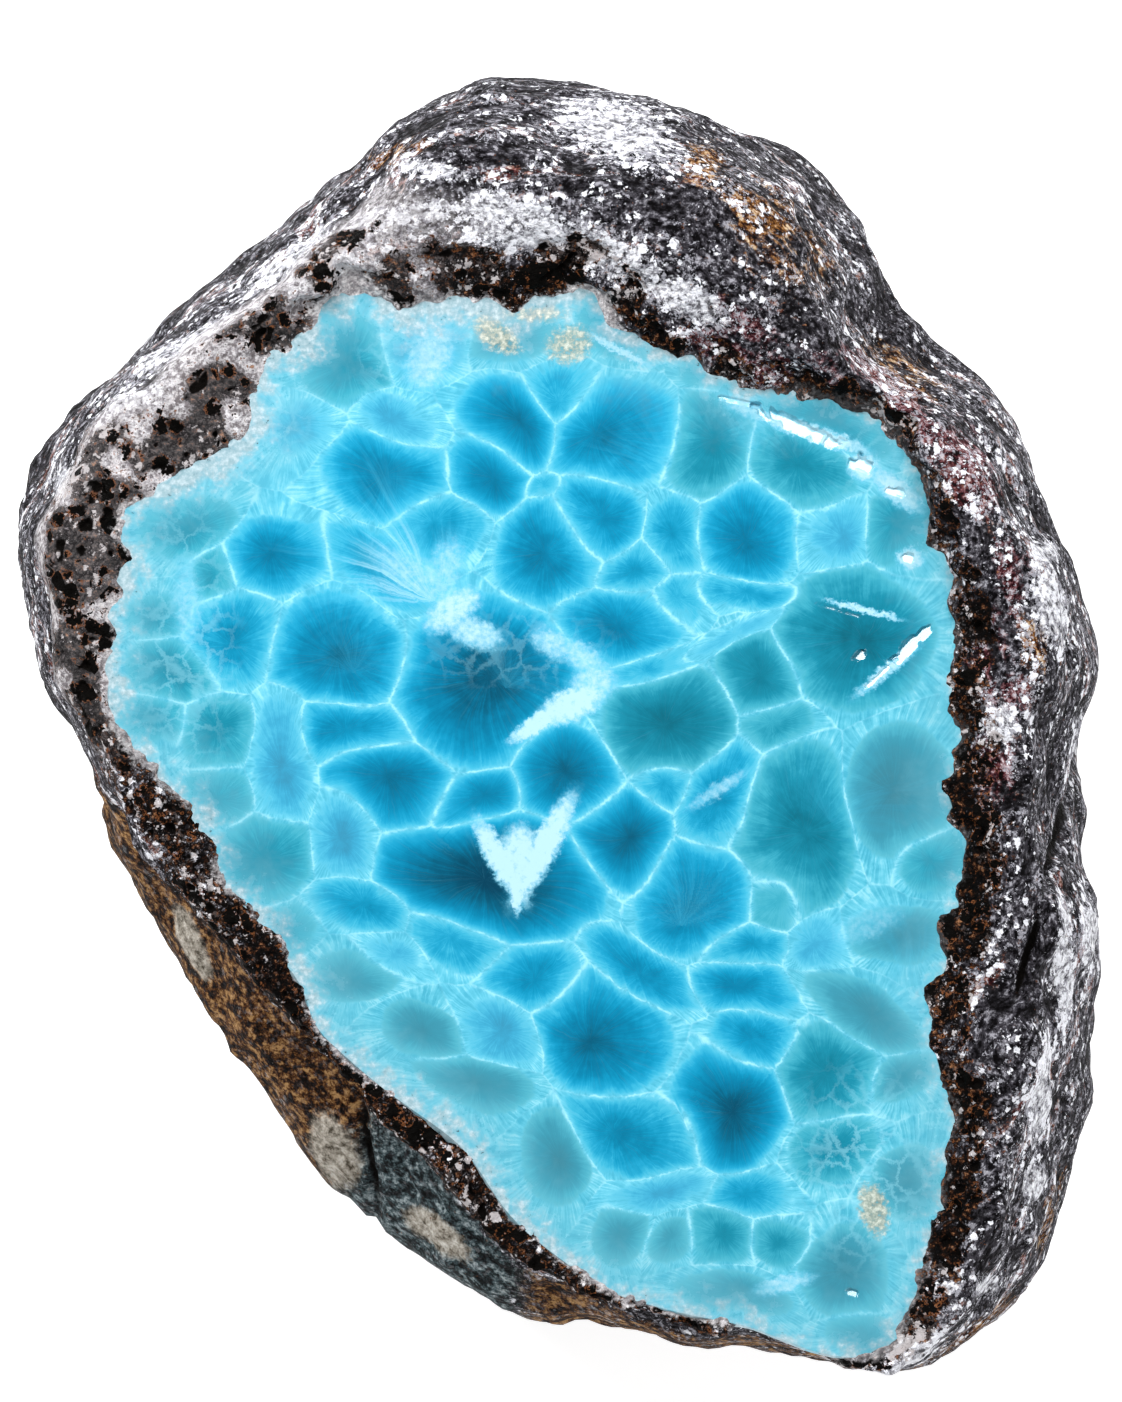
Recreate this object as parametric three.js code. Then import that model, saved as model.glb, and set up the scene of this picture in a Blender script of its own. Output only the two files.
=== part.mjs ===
// A nodule of larimar, blue pectolite, in the dark basalt that it grew in, with one polished window.
// Millimetres, +Z up. The stone lies on the flat break on its back, and the window faces up.
// Origin: the middle of the stone's outline, on the plane that the stone rests on.
import * as THREE from "three";

// Driving sizes
const WINDOW_HEIGHT = 45; // of the polished plane's rim above the resting plane
const WINDOW_CROWN = 1.2; // how far the middle of the window stands above its rim
const FILL_DEPTH = 16; // of the blue filling below the window's middle
const CONTACT_GAP = 0.35; // between the filling and the wall of its pocket
const BELLY_HEIGHT = 22; // where the stone is widest
const BREAK_SHARE = 0.66; // size of the flat break under the stone, as a share of its outline
const SEGMENTS = 120; // around the stone
const TRACE_STEPS = 3000; // along an outline, to find its radius at each segment
const WINDOW_LEAN = [-0.004, 0.006]; // slope of the window along X and Y
const WINDOW_WAVE = { height: 0.18, x: 9, y: 11 }; // faint waves left by hand grinding

// The stone's outline from above, counterclockwise from its right side.
const OUTLINE = [
  [50, 5], [48.5, 11.5], [46, 17.5], [43.5, 24.5], [40.5, 30], [35.5, 34.5], [31, 39],
  [28, 45], [25.5, 49], [22, 52.5], [16.5, 55], [8.5, 57.5], [0.5, 59], [-5.5, 59.5],
  [-10, 58], [-14.5, 55.5], [-18, 52.5], [-23.5, 48], [-28.5, 43.5], [-34.5, 39], [-38.5, 35],
  [-44, 30], [-46.5, 26.5], [-49, 21], [-50, 18.5], [-49, 14], [-48.5, 10], [-47.5, 4],
  [-45, 0.5], [-42, -5.5], [-41.5, -9.5], [-38.5, -15.5], [-35, -21.5], [-32.5, -26], [-28, -32.5],
  [-25, -36.5], [-22, -41.5], [-16.5, -46], [-11, -50], [-7, -52.5], [-2.5, -55], [4, -55],
  [12, -57], [19, -57], [24, -58.5], [31.5, -59.5], [36.5, -58], [41.5, -54], [45, -49.5],
  [46, -44], [48.5, -37], [49, -32], [49, -25], [50, -20], [48.5, -15], [48.5, -7], [48.5, -1],
];

// The ragged edge of the blue window, the same way round.
const WINDOW = [
  [36, 0.5], [34.5, 3], [36.5, 7], [35.5, 11.5], [35.5, 14], [33, 17], [34, 19.5],
  [32, 23.5], [30, 27], [27, 29], [22, 30], [19.5, 30.5], [17, 30], [14.5, 31.5],
  [11.5, 33.5], [8.5, 33.5], [6, 35.5], [4, 39], [0, 39], [-3.5, 37.5], [-7, 38],
  [-11, 38.5], [-13.5, 37.5], [-15, 37.5], [-17, 40], [-19, 41], [-20, 39], [-21.5, 37],
  [-22.5, 34], [-25, 33], [-27.5, 32], [-27, 30], [-27, 27.5], [-28, 25.5], [-29.5, 24],
  [-32.5, 22.5], [-35, 21], [-38, 20.5], [-40, 19], [-39.5, 17.5], [-38.5, 15.5], [-38, 13.5],
  [-39.5, 11.5], [-41, 10.5], [-39.5, 8], [-40.5, 6], [-39, 3], [-40.5, 1], [-39, -1.5],
  [-36, -4], [-34, -6.5], [-31.5, -8.5], [-31, -11.5], [-29.5, -15], [-27.5, -16], [-25, -20],
  [-22.5, -23.5], [-22, -27], [-19, -30], [-15, -33], [-11, -35.5], [-7.5, -38], [-5.5, -42],
  [-2.5, -45.5], [1, -48.5], [5, -51.5], [8.5, -52.5], [13, -53.5], [18, -54.5], [22, -56.5],
  [26, -57.5], [29.5, -57], [31.5, -55], [31, -52], [33, -50.5], [33.5, -46], [35, -42.5],
  [34, -40], [36, -36], [32.5, -31.5], [34, -29.5], [33, -26], [33, -24], [35, -20.5],
  [35, -17.5], [37, -13], [36, -9], [34, -6], [36, -3],
];

// How far inside the outline the top turns over into the side: [degrees around, mm].
const SHOULDER_INSET = [
  [0, 4.5], [30, 5], [60, 7], [90, 7], [120, 5], [135, 4.2], [150, 3.4], [165, 2.3], [180, 1.8],
  [187, 1.6], [194, 3.4], [204, 4.4], [214, 5], [224, 5.4], [234, 6.2], [244, 8], [252, 7.4],
  [259, 5.4], [266, 4.2],
  [275, 2.3], [290, 1.4], [297, 0.7], [303, 3], [309, 5], [315, 5.8], [328, 5.4], [345, 4.6],
];
// How far the rock around the window stands above the window's edge: [degrees around, mm].
const CREST = [
  [0, 2], [30, 2.5], [60, 3.5], [90, 4], [115, 3], [130, 1.4], [160, 0.9], [200, 0.8],
  [240, 0.9], [285, 0.8], [305, 1.4], [330, 1.8],
];
// Where the dark upper rock overhangs a lower, rusty shelf: [degrees around, 0 none to 1 full].
const SHELF = [[184, 0], [194, 1], [262, 1], [285, 0]];

// The side from the break up to the belly: share of the outline, height, share of its small bumps.
const FLANK = [
  { share: BREAK_SHARE, z: 0, bumps: 0.2 },
  { share: 0.8, z: 2.8, bumps: 0.4 },
  { share: 0.895, z: 7, bumps: 0.6 },
  { share: 0.955, z: 12, bumps: 0.8 },
  { share: 0.988, z: 17, bumps: 0.95 },
  { share: 1, z: BELLY_HEIGHT, bumps: 1 },
  { share: 0.995, z: 27, bumps: 1 },
];
// The side from the belly up to the shoulder, as a dome and as a shelf under an overhang.
// way: 0 at the belly's outline to 1 at the shoulder; out: mm past that.
const DOME = [
  { way: 0.22, out: 0, z: 31.5 },
  { way: 0.45, out: 0, z: 35.5 },
  { way: 0.7, out: 0, z: 39 },
  { way: 0.88, out: 0, z: 42 },
  { way: 1, out: 0, z: 44.5 },
];
const OVERHANG = [
  { way: 0.34, out: 0, z: 30.5 },
  { way: 0.8, out: 0, z: 34 },
  { way: 1, out: -1.3, z: 36.5 },
  { way: 1, out: -0.9, z: 39.5 },
  { way: 1, out: 0, z: 43.4 },
];
// The top from the shoulder to the window: way 0 to 1, and the share of the crest's height.
const MARGIN = [
  { way: 0.14, rise: 0.75 },
  { way: 0.32, rise: 1 },
  { way: 0.54, rise: 0.95 },
  { way: 0.74, rise: 0.7 },
  { way: 0.9, rise: 0.35 },
  { way: 1, rise: 0 },
];
// The filling's underside as shares of the window's radius and of FILL_DEPTH.
const BOWL = [
  { share: 1, depth: 0.14 },
  { share: 0.97, depth: 0.36 },
  { share: 0.88, depth: 0.62 },
  { share: 0.7, depth: 0.84 },
  { share: 0.45, depth: 0.96 },
  { share: 0.2, depth: 1 },
];
// Rings of the window's polished face, from its edge inwards, as shares of its radius.
const FACE = [1, 0.96, 0.86, 0.7, 0.5, 0.25];

// Swellings and hollows of the rock: where, how far they spread, and how far they stand out.
const LUMPS = [
  { at: [49, 4, 34], spread: 7, height: 1.6 },
  { at: [47, -20, 33], spread: 8, height: 1.4 },
  { at: [45, -8, 37], spread: 4.5, height: -1.8 },
  { at: [41, 12, 41], spread: 5, height: 1.3 },
  { at: [41, -32, 40], spread: 9, height: 1.1 },
  { at: [14, 47, 44], spread: 10, height: 1.2 },
  { at: [-7, 52, 42], spread: 9, height: 1.5 },
  { at: [-16, 48, 41], spread: 5, height: -1.2 },
  { at: [30, 38, 38], spread: 6, height: -1.3 },
  { at: [-31, -27, 27], spread: 9, height: 1.1 },
  { at: [-20, -40, 28], spread: 4.5, height: -1.7 },
  { at: [-44, 16, 26], spread: 9, height: 1.2 },
  { at: [-40, 33, 24], spread: 8, height: -1.3 },
  { at: [0, 58, 20], spread: 12, height: -1.4 },
  { at: [25, 47, 16], spread: 10, height: 1.6 },
  { at: [44, -45, 20], spread: 9, height: 1.3 },
  { at: [10, -55, 16], spread: 9, height: -1.4 },
  { at: [46, 22, 14], spread: 9, height: -1.5 },
];

// The weathered skin of the rock: how high each kind of relief is, and how far it reaches.
const SWELL = { height: 1.1, reach: [17, 17, 14] };
const RIDGE = { height: 1.2, reach: [11, 11, 8] };
const KNOB = { height: 0.55, reach: [5, 5, 4.2] };

const DEGREES = 180 / Math.PI;
const ringAngles = Array.from({ length: SEGMENTS }, (_, i) => (i / SEGMENTS) * 2 * Math.PI);

// The radius of a closed outline at each of the ring's angles.
function radiiOf(outline) {
  const corners = outline.map(([x, y]) => new THREE.Vector3(x, y, 0));
  const trace = new THREE.CatmullRomCurve3(corners, true, "centripetal").getPoints(TRACE_STEPS);
  const bearings = trace.map((p) => Math.atan2(p.y, p.x));
  return ringAngles.map((angle) => {
    const fits = bearings.map((bearing) => Math.cos(bearing - angle));
    const best = fits.reduce((found, fit, n) => (fit > fits[found] ? n : found), 0);
    return trace[best].length();
  });
}

// A value that eases from one [degrees, value] pair to the next around the stone.
function around(pairs, angle) {
  const degrees = ((angle * DEGREES) % 360 + 360) % 360;
  const next = pairs.findIndex(([at]) => at > degrees);
  const [high, low] = next > 0 ? [pairs[next], pairs[next - 1]] : [pairs[0], pairs.at(-1)];
  const span = (high[0] - low[0] + 360) % 360;
  const share = ((degrees - low[0] + 360) % 360) / span;
  return THREE.MathUtils.lerp(low[1], high[1], THREE.MathUtils.smoothstep(share, 0, 1));
}

// The outline without its small bumps: each radius averaged with its neighbours.
function smoothed(radii, reach) {
  return radii.map((_, i) => {
    let sum = 0;
    for (let k = -reach; k <= reach; k++) sum += radii[(i + k + SEGMENTS) % SEGMENTS];
    return sum / (2 * reach + 1);
  });
}

// A fixed pseudo-random value between -1 and 1 for each point of a whole-number grid.
function gridValue(i, j, k) {
  const wave = Math.sin(i * 127.1 + j * 311.7 + k * 74.7) * 43758.5453;
  return 2 * (wave - Math.floor(wave)) - 1;
}

// Smooth noise between -1 and 1 at a point, with bumps that reach so far along each axis.
function noise(p, reach) {
  const place = [p.x / reach[0], p.y / reach[1], p.z / reach[2]];
  const cell = place.map(Math.floor);
  const blend = place.map((v, n) => THREE.MathUtils.smootherstep(v - cell[n], 0, 1));
  let sum = 0;
  for (let corner = 0; corner < 8; corner++) {
    const step = [corner & 1, (corner >> 1) & 1, corner >> 2];
    const weight = step.reduce((w, s, n) => w * (s ? blend[n] : 1 - blend[n]), 1);
    sum += weight * gridValue(cell[0] + step[0], cell[1] + step[1], cell[2] + step[2]);
  }
  return sum;
}

// How far the weathered rock stands out at a point: broad swells, blunt ridges and small knobs.
function rockRelief(p) {
  const swell = SWELL.height * noise(p, SWELL.reach);
  const ridge = RIDGE.height * (0.5 - Math.abs(noise(p, RIDGE.reach)));
  const knob = KNOB.height * noise(p, KNOB.reach);
  const lumps = LUMPS.reduce((sum, { at, spread, height }) => {
    const distance = p.distanceTo(new THREE.Vector3(...at));
    return sum + height * Math.exp(-((distance / spread) ** 2));
  }, 0);
  return swell + ridge + knob + lumps;
}

const outlineRadii = radiiOf(OUTLINE);
const outlineSmooth = smoothed(outlineRadii, 5);
const windowRadii = radiiOf(WINDOW);

// The window is ground by hand: it leans a little and has faint waves.
function windowHeight(x, y, share) {
  const lean = WINDOW_LEAN[0] * x + WINDOW_LEAN[1] * y;
  const waves = WINDOW_WAVE.height * Math.cos(x / WINDOW_WAVE.x) * Math.sin(y / WINDOW_WAVE.y);
  return WINDOW_HEIGHT + lean + waves + WINDOW_CROWN * (1 - share * share);
}

function pointAt(i, radius, z) {
  return new THREE.Vector3(Math.cos(ringAngles[i]) * radius, Math.sin(ringAngles[i]) * radius, z);
}

// A ring on the window's face, or below it by a depth.
function windowRing(share, depth, widen) {
  return ringAngles.map((_, i) => {
    const p = pointAt(i, windowRadii[i] * share + widen, 0);
    p.z = windowHeight(p.x, p.y, share) - depth;
    return p;
  });
}

// The rock's outside from the break up to the window's edge, as rings of points.
function rockRings() {
  const rings = FLANK.map(({ share, z, bumps }) =>
    ringAngles.map((_, i) => {
      const outline = THREE.MathUtils.lerp(outlineSmooth[i], outlineRadii[i], bumps);
      return pointAt(i, outline * share, z);
    }),
  );
  DOME.forEach((dome, n) => {
    rings.push(
      ringAngles.map((angle, i) => {
        const shelf = around(SHELF, angle);
        const station = (key) => THREE.MathUtils.lerp(dome[key], OVERHANG[n][key], shelf);
        const radius = outlineRadii[i] - around(SHOULDER_INSET, angle) * station("way") + station("out");
        return pointAt(i, radius, station("z"));
      }),
    );
  });
  MARGIN.forEach(({ way, rise }) => {
    rings.push(
      ringAngles.map((angle, i) => {
        const shoulder = outlineRadii[i] - around(SHOULDER_INSET, angle);
        const p = pointAt(i, THREE.MathUtils.lerp(shoulder, windowRadii[i], way), 0);
        p.z = windowHeight(p.x, p.y, 1) + around(CREST, angle) * rise;
        return p;
      }),
    );
  });
  return rings;
}

// Pushes the rings in or out along the surface, except where the rock is flat or meets the window.
function roughen(rings) {
  const last = rings.length - 1;
  const smooth = rings.map((ring) => ring.map((p) => p.clone()));
  rings.forEach((ring, r) => {
    const hold = Math.min(r / 2, (last - r) / 3, 1);
    ring.forEach((p, i) => {
      const before = smooth[r][(i + SEGMENTS - 1) % SEGMENTS];
      const after = smooth[r][(i + 1) % SEGMENTS];
      const below = smooth[Math.max(r - 1, 0)][i];
      const above = smooth[Math.min(r + 1, last)][i];
      const along = after.clone().sub(before);
      const normal = along.cross(above.clone().sub(below)).normalize();
      p.addScaledVector(normal, hold * rockRelief(smooth[r][i]));
    });
  });
  return rings;
}

// Draws the widest point at each segment back to the outline, and the rest less the nearer the window.
function trimToOutline(rings) {
  for (let i = 0; i < SEGMENTS; i++) {
    const radii = rings.map((ring) => Math.hypot(ring[i].x, ring[i].y));
    const widest = Math.max(...radii);
    rings.forEach((ring, r) => {
      const share = THREE.MathUtils.smoothstep(radii[r], windowRadii[i], widest);
      const scale = THREE.MathUtils.lerp(1, outlineRadii[i] / widest, share);
      ring[i].x *= scale;
      ring[i].y *= scale;
    });
  }
  return rings;
}

// One closed surface from rings stacked the same way round, with a middle point at each end.
function skin(first, rings, last) {
  const points = [first, ...rings.flat(), last];
  const faces = [];
  const at = (r, i) => 1 + r * SEGMENTS + (i % SEGMENTS);
  for (let i = 0; i < SEGMENTS; i++) {
    faces.push(0, at(0, i + 1), at(0, i));
    for (let r = 0; r < rings.length - 1; r++) {
      faces.push(at(r, i), at(r, i + 1), at(r + 1, i));
      faces.push(at(r, i + 1), at(r + 1, i + 1), at(r + 1, i));
    }
    faces.push(at(rings.length - 1, i), at(rings.length - 1, i + 1), points.length - 1);
  }
  const geometry = new THREE.BufferGeometry().setFromPoints(points).setIndex(faces);
  geometry.computeVertexNormals();
  return geometry;
}

// The rings of the filling's underside, or with a gap those of the pocket that holds it.
function bowlRings(gap) {
  return BOWL.map(({ share, depth }) => windowRing(share, depth * FILL_DEPTH + gap, gap));
}

function bowlBottom(gap) {
  return new THREE.Vector3(0, 0, windowHeight(0, 0, 0) - FILL_DEPTH * 1.02 - gap);
}

function basaltHost() {
  const rings = [...trimToOutline(roughen(rockRings())), ...bowlRings(CONTACT_GAP)];
  const geometry = skin(new THREE.Vector3(0, 0, 0), rings, bowlBottom(CONTACT_GAP));
  const basalt = new THREE.MeshStandardMaterial({ color: "#3b3838", roughness: 0.6, metalness: 0 });
  const mesh = new THREE.Mesh(geometry, basalt);
  mesh.name = "basalt_host";
  return mesh;
}

function larimarFill() {
  const face = FACE.map((share) => windowRing(share, 0, -CONTACT_GAP * share));
  const rings = [...bowlRings(0).reverse(), ...face];
  const top = new THREE.Vector3(0, 0, windowHeight(0, 0, 0));
  const pectolite = new THREE.MeshStandardMaterial({ color: "#2fb4d8", roughness: 0.12, metalness: 0 });
  const mesh = new THREE.Mesh(skin(bowlBottom(0), rings, top), pectolite);
  mesh.name = "larimar_fill";
  return mesh;
}

const stone = new THREE.Group();
stone.add(basaltHost(), larimarFill());

// The origin goes to the middle of the finished outline.
const box = new THREE.Box3().setFromObject(stone);
const middle = box.getCenter(new THREE.Vector3());
stone.position.set(-middle.x, -middle.y, -box.min.z);

export default stone;
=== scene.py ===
"""A nodule of larimar in dark basalt, lying on the flat break on its back with its polished window up."""
import math

import bpy
import numpy as np
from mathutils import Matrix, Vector, noise


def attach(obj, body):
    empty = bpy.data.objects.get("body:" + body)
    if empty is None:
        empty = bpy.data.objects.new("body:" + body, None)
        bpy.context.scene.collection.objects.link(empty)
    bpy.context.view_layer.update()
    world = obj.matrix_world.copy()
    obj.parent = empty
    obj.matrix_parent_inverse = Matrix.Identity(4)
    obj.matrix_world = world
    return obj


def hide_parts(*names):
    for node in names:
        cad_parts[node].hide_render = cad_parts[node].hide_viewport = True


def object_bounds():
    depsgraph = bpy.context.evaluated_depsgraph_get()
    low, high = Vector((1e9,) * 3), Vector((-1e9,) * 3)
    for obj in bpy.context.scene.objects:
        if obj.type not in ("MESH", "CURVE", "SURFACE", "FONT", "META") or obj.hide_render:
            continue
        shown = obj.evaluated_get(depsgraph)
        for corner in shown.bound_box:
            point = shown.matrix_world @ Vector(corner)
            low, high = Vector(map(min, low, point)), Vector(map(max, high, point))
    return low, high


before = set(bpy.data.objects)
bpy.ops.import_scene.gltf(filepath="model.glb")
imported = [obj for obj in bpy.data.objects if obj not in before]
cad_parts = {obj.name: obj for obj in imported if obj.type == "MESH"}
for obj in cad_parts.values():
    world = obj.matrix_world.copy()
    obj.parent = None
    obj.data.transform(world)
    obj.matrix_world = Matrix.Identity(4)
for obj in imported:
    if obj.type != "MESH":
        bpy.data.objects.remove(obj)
cad_low, cad_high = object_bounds()
MM = 0.001


# The basalt host.
# A lump of old lava, dark grey with white feldspar flecks, broken out of its vein and worn by weather.
# It is one natural stone, whose pocket was filled by the larimar before the window was ground flat.
ROCK_VOXEL = 1.1  # mm, of the even mesh that the relief is worked into
LIP_SHARE = 0.93  # the pocket's lip reaches in under the blue, to this share of its radius
LIP_LIFT = 1.2  # mm that the lip is lifted
WINDOW_PLANE = 45.0  # mm above the resting plane
FACE_LOW = WINDOW_PLANE - 1.3  # mm, below which nothing of the polished face lies
EDGE_LOW = WINDOW_PLANE - 1.4  # mm, and nothing of its edge
POCKET_HIGH = WINDOW_PLANE - 2.2  # mm, below which the pocket's hidden wall keeps its shape
CONTACT_LOW = WINDOW_PLANE - 2.5  # mm, above which the rock is cut finest
LIP_LOW = WINDOW_PLANE - 4.2  # mm, the lower edge of the pocket's lip
TOP_ZONE = 36.0  # mm above the resting plane, where the rock's finer surface starts
CONTACT_ZONE = (-2.6, 3.6)  # mm outside the window's edge, where it is finest
CONTACT_BITE = 1.1  # mm that the crust's inner edge wanders in and out
CRUST_WANDER = 1.1  # mm, and its outer edge
PIT_DEPTH = 0.85  # mm
CLEFT_DEPTH = 1.2  # mm
SUNK = 0.3  # mm that the whole surface is sunk, so that its relief stays inside the stone's box

# Width of the black, pitted crust along the window: degrees around, mm.
CRUST_WIDTH = [
    (0, 4.5), (20, 3), (40, 2.2), (55, 2), (66, 3.4), (76, 3), (88, 5), (104, 5.4), (118, 5),
    (130, 6), (148, 9), (160, 8), (172, 7), (184, 5), (205, 6), (240, 6), (262, 5), (280, 3),
    (296, 1.4), (304, 3.5), (330, 4.5), (346, 4.5),
]
# Where the polished cut runs on over the grey matrix beside the blue: degrees around, share.
CUT_MATRIX = [(96, 0), (108, 0.6), (130, 0.9), (150, 1), (176, 1), (188, 0)]
# Where the crust breaks up into clusters: degrees around, share.
CRUST_GAPS = [(0, 0.55), (50, 0.5), (66, 0.9), (80, 1), (176, 1), (192, 0.25), (290, 0.25), (310, 0.55)]
# Patches of white calcite as seen from above: x, y, half length, half width in mm, and turn in degrees.
CALCITE = [
    (5.5, 54, 5, 2.8, -25), (-14, 46, 6.8, 1.2, 8), (-3.5, 45, 6.4, 2.2, -22), (5, 42, 6.4, 1.8, -28),
    (12, 38, 4.2, 1.6, -35), (-39, 28.5, 2.8, 2, 35), (-44.5, 22.5, 2, 1.6, 40),
    (-33.5, 35, 5.4, 0.8, 32), (-24.5, 42.5, 5.4, 1, 34), (-21.5, 40.5, 3.6, 2.2, 30),
    (48, -3.5, 1, 4.6, 0), (49, -19, 1.2, 3.2, 0), (46, -21.5, 0.8, 5.4, 0), (44, -33.5, 0.9, 4.8, -8),
    (43.5, -41.5, 1.0, 1.8, 0), (39, -51, 1.2, 1, 0), (31.5, -57, 3.2, 1.8, 20), (40, 0.5, 1.4, 2.2, 0),
    (30, 28, 2, 1, -25), (44.5, 10.5, 1.6, 3.4, 10), (-11.5, 50.5, 3.6, 0.8, -15), (44.2, 15.6, 1.3, 1.1, 0),
    (34.1, -49, 0.8, 0.7, 0), (35.5, -50.9, 0.7, 0.6, 0), (31.9, -47.2, 0.7, 0.6, 0), (27, -57.5, 3, 1.4, 15),
]
# Stains of oxidised rock beside the crust, written the same way, and of rust in the seams.
MAROON = [
    (16.5, 34, 5.4, 3.2, -25), (26.5, 32.5, 4.6, 1.8, -20), (37, 24, 2.2, 4.2, 25),
    (41, 13.5, 1.6, 2.8, 10), (39, 8, 2.2, 3.6, 0), (38.5, -4, 2.6, 3.2, 0), (40.5, 2.5, 1.6, 2.2, 0),
    (32, 28, 3.6, 2, -40),
]
RUST = [
    (19.5, 44.5, 5.8, 3.2, -40), (13.5, 51, 1.8, 2.2, 0), (31.5, 32.5, 4, 2.2, -40),
    (45.5, -47, 1.2, 5.4, -10), (40, -54.5, 4.6, 1.4, 32), (4, -55.5, 8.2, 1, -6), (-15, 52, 2.8, 1, 20),
    (-45.5, 15, 1.2, 2.8, 20), (43.5, 8, 1.8, 2.8, 0), (31.9, -54, 1.4, 1.6, 0),
]
# Sandy patches on the shelf at the lower left, and clefts in the flanks, written the same way.
SHELF_PALE = [
    (-33.5, -20, 1, 3.6, 25), (-20.5, -39, 2, 3.6, 20), (-11, -46.5, 3.6, 1.4, -35),
    (-5.7, -43.1, 1.2, 0.9, 0),
]
CLEFTS = [(-17.5, -39.6, 6.4, 0.5, -83), (46.3, -8.5, 7.8, 0.6, 74), (42.6, -21, 5.3, 0.6, 72)]
# The shelf's brown and slate-grey rock below the rim: degrees around, share.
SHELF_BROWN = [(184, 0), (190, 1), (242, 1), (249, 0.15), (262, 0.2), (270, 0.8), (300, 0.5), (312, 0)]
SHELF_SLATE = [(240, 0), (248, 1), (262, 1), (270, 0)]
# How far the pale frost along the window's edge reaches into the blue: degrees around, mm.
FROST_WIDTH = [
    (0, -1.4), (30, -0.9), (50, -0.4), (62, 0.3), (75, 0), (88, 1.3), (108, 2.2), (120, 1.0), (135, 1.2),
    (150, 0.8), (175, 0.6), (200, 0.4), (230, 0.8), (250, 0.8), (280, 0.7), (300, 0.4), (318, -0.6),
    (346, -1.4),
]
FLECKS = [(1.25, -0.1, 0.36), (2.7, -0.02, 0.44)]  # feldspar: how many to a mm, least and most size
HOLES = 0.62  # gas bubbles in the crust, to a mm
STREAK_WANDER = 2.5  # mm
FLOW_SEAM = 62  # degrees short of the X axis, where the streaks meet and the rim is thin
FLOW_RADIUS = 44.0  # mm from the stone's middle to where the streaks are measured


def widest(node, above):
    """The outermost place of a CAD solid in each of 120 sectors around the stone, above a height, in mm."""
    places = np.array([v.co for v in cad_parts[node].data.vertices]) / MM
    places = places[places[:, 2] > above]
    sector = np.round(np.degrees(np.arctan2(places[:, 1], places[:, 0])) / 3).astype(int) % 120
    radius = np.hypot(places[:, 0], places[:, 1])
    return np.array([places[sector == k][np.argmax(radius[sector == k])] for k in range(120)])


edge = widest("larimar_fill", EDGE_LOW)
rim_width = np.hypot(*widest("basalt_host", TOP_ZONE)[:, :2].T) - np.hypot(*edge[:, :2].T)
rim_width = list(zip(range(0, 360, 3), rim_width))  # degrees around, mm


def outside_window(x, y):
    """How far places lie outside the window's edge, in mm, and less than nothing inside it."""
    nearest = np.full(len(x), 1e9)
    inside = np.zeros(len(x), bool)
    for (ax, ay, _), (bx, by, _) in zip(edge, np.roll(edge, -1, 0)):
        ex, ey = bx - ax, by - ay
        along = np.clip(((x - ax) * ex + (y - ay) * ey) / (ex * ex + ey * ey), 0, 1)
        nearest = np.minimum(nearest, np.hypot(x - ax - along * ex, y - ay - along * ey))
        if ay != by:
            inside ^= ((ay > y) != (by > y)) & (x < ax + (y - ay) * ex / ey)
    return np.where(inside, -nearest, nearest)


def eased(value, low, high):
    """0 at low and 1 at high, and eased between."""
    share = np.clip((value - low) / (high - low), 0, 1)
    return share * share * (3 - 2 * share)


def around(pairs, bearing):
    """A value that runs through pairs of degrees and value around the stone."""
    degrees = [pair[0] for pair in pairs]
    values = [pair[1] for pair in pairs]
    return np.interp(bearing, degrees, values, period=360)


def patches(spots, x, y):
    """1 in the middle of each spot and 0 past its edge."""
    cover = np.zeros(len(x))
    for at_x, at_y, long, wide, turn in spots:
        c, s = math.cos(math.radians(turn)), math.sin(math.radians(turn))
        u = ((x - at_x) * c + (y - at_y) * s) / long
        v = ((y - at_y) * c - (x - at_x) * s) / wide
        cover = np.maximum(cover, np.clip(1.5 - np.hypot(u, v), 0, 1))
    return cover


def bumps(places, reach, seed):
    """Smooth noise from about -1 to 1, with bumps of a reach in mm."""
    return np.array([noise.noise(Vector(p)) for p in places / reach + seed])


def pits_of(places, reach, seed):
    """Round pits: 1 in the middle of each and 0 between them."""
    near = np.array([noise.voronoi(Vector(p))[0][0] for p in places / reach + seed])
    return 1 - eased(near, 0.1, 0.5)


def shown_copy(node, name):
    """A merged copy of a CAD solid, selected and active, as the start of a piece."""
    piece = bpy.data.objects.new(name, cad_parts[node].data.copy())
    bpy.context.scene.collection.objects.link(piece)
    bpy.ops.object.select_all(action="DESELECT")
    piece.select_set(True)
    bpy.context.view_layer.objects.active = piece
    bpy.ops.object.mode_set(mode="EDIT")
    bpy.ops.mesh.select_mode(type="VERT")
    bpy.ops.mesh.select_all(action="SELECT")
    bpy.ops.mesh.remove_doubles(threshold=0.001 * MM)
    bpy.ops.object.mode_set(mode="OBJECT")
    piece.data.materials.clear()
    return piece


def places_of(piece):
    """The places of a piece's points, in mm."""
    co = np.zeros(len(piece.data.vertices) * 3)
    piece.data.vertices.foreach_get("co", co)
    return co.reshape(-1, 3) / MM


def select_points(piece, chosen):
    """Goes into edit mode with only the chosen points selected."""
    for part in (piece.data.edges, piece.data.polygons):
        part.foreach_set("select", np.zeros(len(part), bool))
    piece.data.vertices.foreach_set("select", chosen)
    bpy.ops.object.mode_set(mode="EDIT")
    bpy.ops.mesh.select_mode(type="VERT")


def finish_with(piece, kind, **settings):
    """Adds a modifier to a piece and applies it."""
    tool = piece.modifiers.new(kind.lower(), kind)
    for name, value in settings.items():
        setattr(tool, name, value)
    bpy.ops.object.modifier_apply(modifier=tool.name)


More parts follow.
